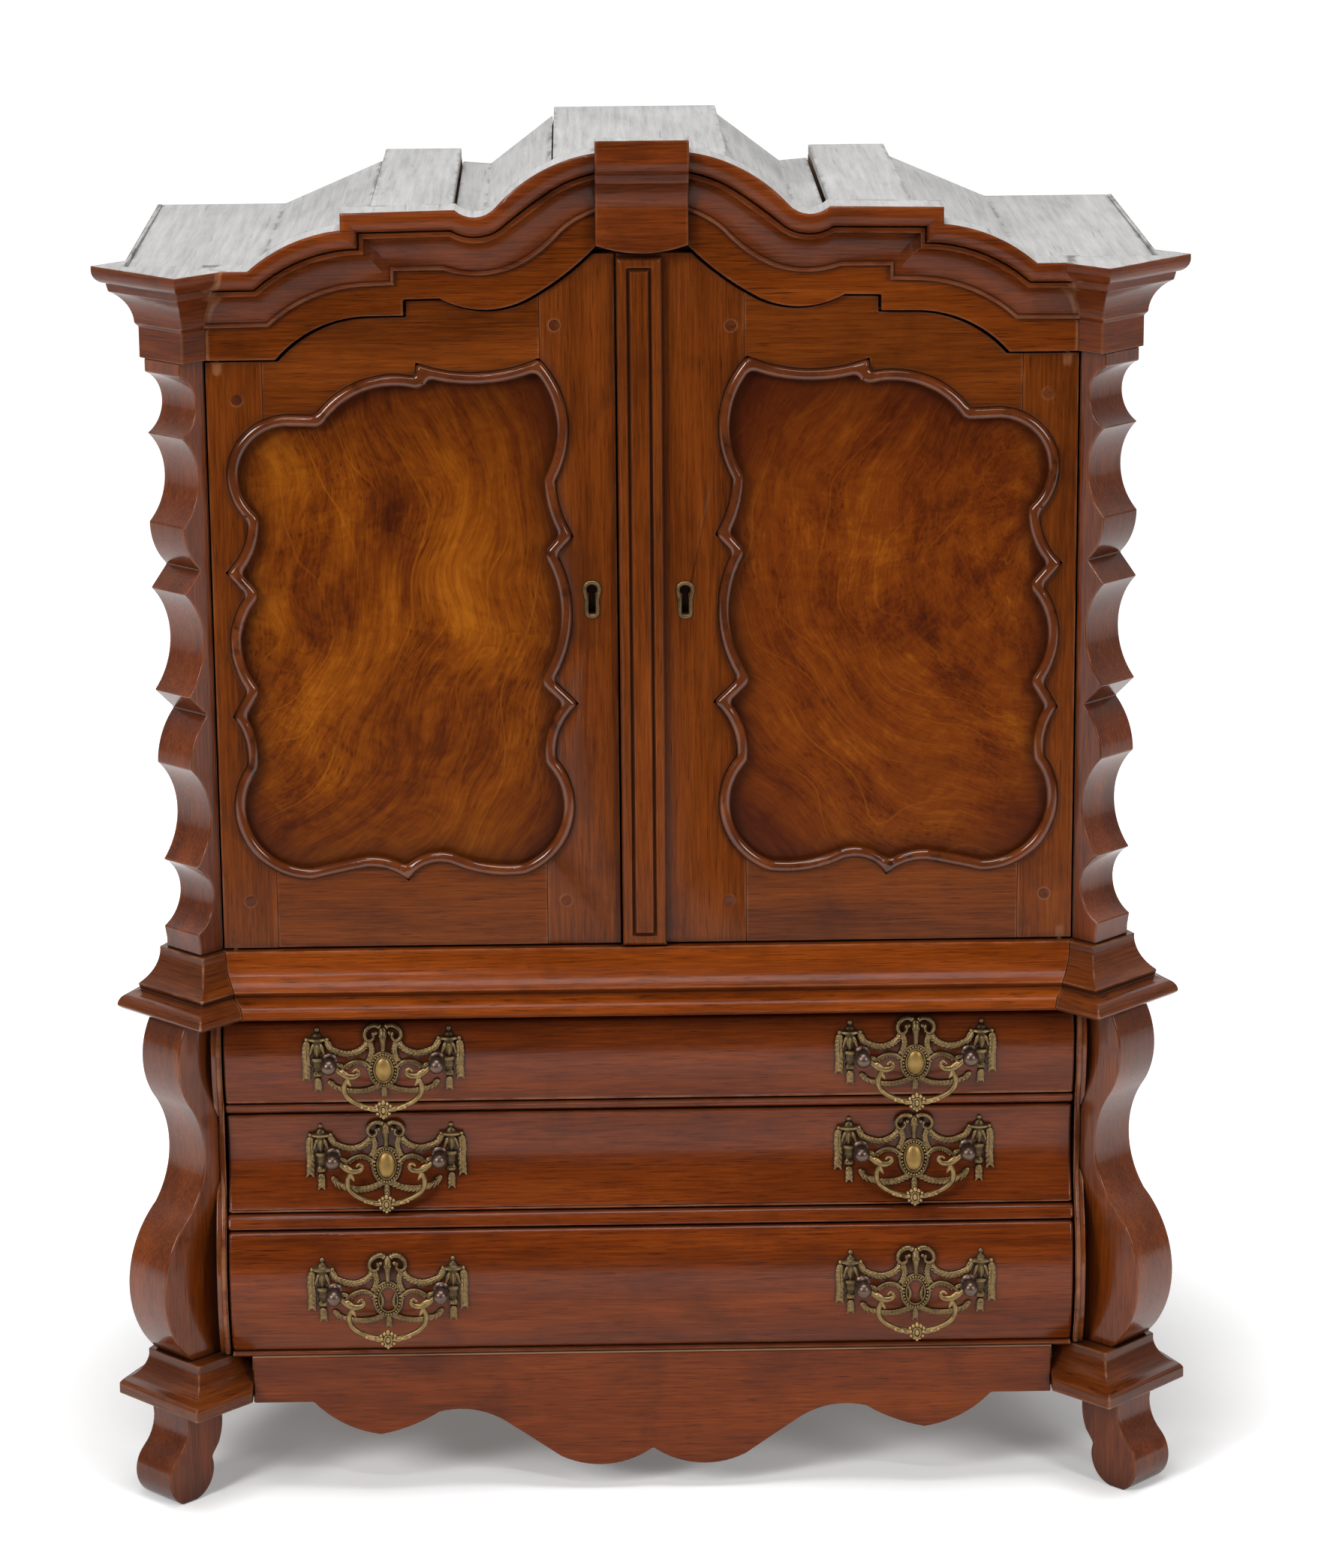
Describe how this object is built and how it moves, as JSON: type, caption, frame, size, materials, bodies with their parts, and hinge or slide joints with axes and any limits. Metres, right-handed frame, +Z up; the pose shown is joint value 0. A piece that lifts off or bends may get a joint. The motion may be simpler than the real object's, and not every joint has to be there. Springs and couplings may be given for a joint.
{
  "type": "kas cupboard",
  "caption": "Miniature kas cupboard: arched scalloped cornice over cartouche-panelled doors, standing on a bombe chest of drawers with brass bail handles and scroll feet.",
  "frame": {"origin": "on the floor under the middle of the overall box", "axes": "+Z up, the doors and drawers face -Y, +X to the viewer's right"},
  "size_m": [0.67, 0.336, 0.8529],
  "materials": {
    "mahogany": "glossy shellac over reddish brown mahogany",
    "flame_panel": "glossy flame-figured veneer",
    "dark_bead": "glossy dark stained beading",
    "roof_board": "pale grey painted boards, worn",
    "inner_wood": "plain unpolished secondary wood",
    "antique_brass": "dark antique patina with worn bright relief"
  },
  "bodies": {
    "carcass": {"apron": "mahogany", "bombe_pilaster_left": "mahogany", "bombe_pilaster_right": "mahogany", "case_back": "inner_wood", "case_floor": "inner_wood", "case_posts": "mahogany", "case_shelf": "inner_wood", "case_side_left": "mahogany", "case_side_right": "mahogany", "chest_back": "inner_wood", "chest_floor": "inner_wood", "chest_posts": "mahogany", "chest_side_left": "mahogany", "chest_side_right": "mahogany", "chest_top": "inner_wood", "cornice_corner_left": "mahogany", "cornice_corner_right": "mahogany", "cornice_left": "mahogany", "cornice_right": "mahogany", "drawer_rail_high": "mahogany", "drawer_rail_low": "mahogany", "drawer_runners": "inner_wood", "foot_blocks": "mahogany", "frieze": "mahogany", "front_feet": "mahogany", "keystone": "mahogany", "pivot_pins": "antique_brass", "rear_feet": "mahogany", "roof_boards": "roof_board", "scroll_pilaster_left": "mahogany", "scroll_pilaster_right": "mahogany", "waist_moulding_front": "mahogany", "waist_moulding_left": "mahogany", "waist_moulding_right": "mahogany"},
    "left_door": {"left_door_bead": "dark_bead", "left_door_escutcheon": "antique_brass", "left_door_panel": "flame_panel", "left_door_rails": "mahogany", "left_door_stiles": "mahogany"},
    "right_door": {"right_door_astragal": "mahogany", "right_door_bead": "dark_bead", "right_door_escutcheon": "antique_brass", "right_door_panel": "flame_panel", "right_door_rails": "mahogany", "right_door_stiles": "mahogany"},
    "low_drawer": {"low_drawer_box": "inner_wood", "low_drawer_front": "mahogany", "low_drawer_handles": "antique_brass"},
    "middle_drawer": {"middle_drawer_box": "inner_wood", "middle_drawer_front": "mahogany", "middle_drawer_handles": "antique_brass"},
    "high_drawer": {"high_drawer_box": "inner_wood", "high_drawer_front": "mahogany", "high_drawer_handles": "antique_brass"},
    "bail_low_left": {"low_bail_left": "antique_brass"},
    "bail_low_right": {"low_bail_right": "antique_brass"},
    "bail_middle_left": {"middle_bail_left": "antique_brass"},
    "bail_middle_right": {"middle_bail_right": "antique_brass"},
    "bail_high_left": {"high_bail_left": "antique_brass"},
    "bail_high_right": {"high_bail_right": "antique_brass"}
  },
  "joints": [
    {"name": "left_door_hinge", "type": "hinge", "parent": "carcass", "child": "left_door", "pos_m": [-0.2536, -0.10435, 0.5365], "axis": [0, 0, -1], "range_deg": [0, 105]},
    {"name": "right_door_hinge", "type": "hinge", "parent": "carcass", "child": "right_door", "pos_m": [0.2536, -0.10435, 0.5365], "axis": [0, 0, 1], "range_deg": [0, 105]},
    {"name": "low_drawer_slide", "type": "slide", "parent": "carcass", "child": "low_drawer", "axis": [0, -1, 0], "range_m": [0, 0.17]},
    {"name": "middle_drawer_slide", "type": "slide", "parent": "carcass", "child": "middle_drawer", "axis": [0, -1, 0], "range_m": [0, 0.17]},
    {"name": "high_drawer_slide", "type": "slide", "parent": "carcass", "child": "high_drawer", "axis": [0, -1, 0], "range_m": [0, 0.17]},
    {"name": "low_bail_left_hinge", "type": "hinge", "parent": "low_drawer", "child": "bail_low_left", "pos_m": [-0.164, -0.14794, 0.14002], "axis": [-1, 0, 0], "range_deg": [0, 95]},
    {"name": "low_bail_right_hinge", "type": "hinge", "parent": "low_drawer", "child": "bail_low_right", "pos_m": [0.164, -0.14794, 0.14002], "axis": [-1, 0, 0], "range_deg": [0, 95]},
    {"name": "middle_bail_left_hinge", "type": "hinge", "parent": "middle_drawer", "child": "bail_middle_left", "pos_m": [-0.164, -0.12376, 0.22031], "axis": [-1, 0, 0], "range_deg": [0, 95]},
    {"name": "middle_bail_right_hinge", "type": "hinge", "parent": "middle_drawer", "child": "bail_middle_right", "pos_m": [0.164, -0.12376, 0.22031], "axis": [-1, 0, 0], "range_deg": [0, 95]},
    {"name": "high_bail_left_hinge", "type": "hinge", "parent": "high_drawer", "child": "bail_high_left", "pos_m": [-0.164, -0.13582, 0.28604], "axis": [-1, 0, 0], "range_deg": [0, 95]},
    {"name": "high_bail_right_hinge", "type": "hinge", "parent": "high_drawer", "child": "bail_high_right", "pos_m": [0.164, -0.13582, 0.28604], "axis": [-1, 0, 0], "range_deg": [0, 95]}
  ]
}
